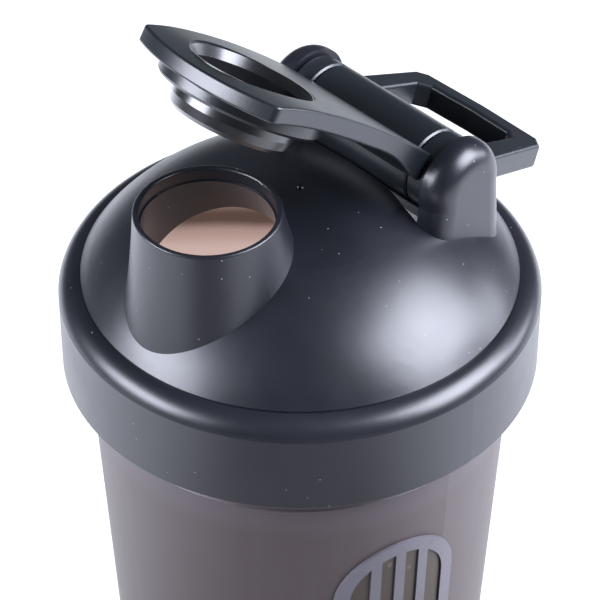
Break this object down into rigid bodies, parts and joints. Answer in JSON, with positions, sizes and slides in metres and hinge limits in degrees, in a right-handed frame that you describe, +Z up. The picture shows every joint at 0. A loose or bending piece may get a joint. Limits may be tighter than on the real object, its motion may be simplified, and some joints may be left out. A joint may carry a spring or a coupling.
{
  "type": "protein shaker bottle",
  "caption": "Tapered translucent shaker cup with a domed screw lid, spout, flip cap on a hinge, carry loop and a wire mixer ball inside.",
  "frame": {"origin": "centre of the cup's foot, in the plane it stands on", "axes": "+Z up along the cup's axis, spout towards -Y, flip cap and carry loop hinge line along X on the +Y side"},
  "size_m": [0.098, 0.1019, 0.2437],
  "materials": {
    "cup_smoke": "translucent smoke-grey polypropylene, satin",
    "gauge_grey": "raised pale grey print, satin",
    "lid_black": "satin black with a fine grain",
    "seal_silicone": "soft silicone",
    "cap_black": "satin black",
    "plug_black": "semi-gloss black",
    "loop_black": "satin black",
    "pin_black": "satin black",
    "ball_steel": "polished stainless wire"
  },
  "bodies": {
    "cup": {"cup": "cup_smoke", "level_gauge": "gauge_grey", "volume_scale": "gauge_grey"},
    "mixer_ball": {"whisk_ball": "ball_steel"},
    "seal": {"lid_seal": "seal_silicone"},
    "lid": {"lid_shell": "lid_black", "hinge_pin": "pin_black"},
    "flip_cap": {"flip_lever": "cap_black", "spout_plug": "plug_black"},
    "carry_loop": {"carry_loop": "loop_black"}
  },
  "joints": [
    {"name": "lid_lift", "type": "slide", "parent": "cup", "child": "seal", "axis": [0, 0, 1], "range_m": [0, 0.09]},
    {"name": "lid_turn", "type": "hinge", "parent": "seal", "child": "lid", "pos_m": [0, 0, 0.17], "axis": [0, 0, 1], "range_deg": [0, 360]},
    {"name": "cap_swing", "type": "hinge", "parent": "lid", "child": "flip_cap", "pos_m": [0, 0.0222, 0.203], "axis": [-1, 0, 0], "range_deg": [-34, 50]},
    {"name": "loop_swing", "type": "hinge", "parent": "lid", "child": "carry_loop", "pos_m": [0, 0.0222, 0.203], "axis": [1, 0, 0], "range_deg": [-3, 55]},
    {"name": "ball_lift", "type": "slide", "parent": "cup", "child": "mixer_ball", "axis": [0, 0, 1], "range_m": [0, 0.1]}
  ]
}
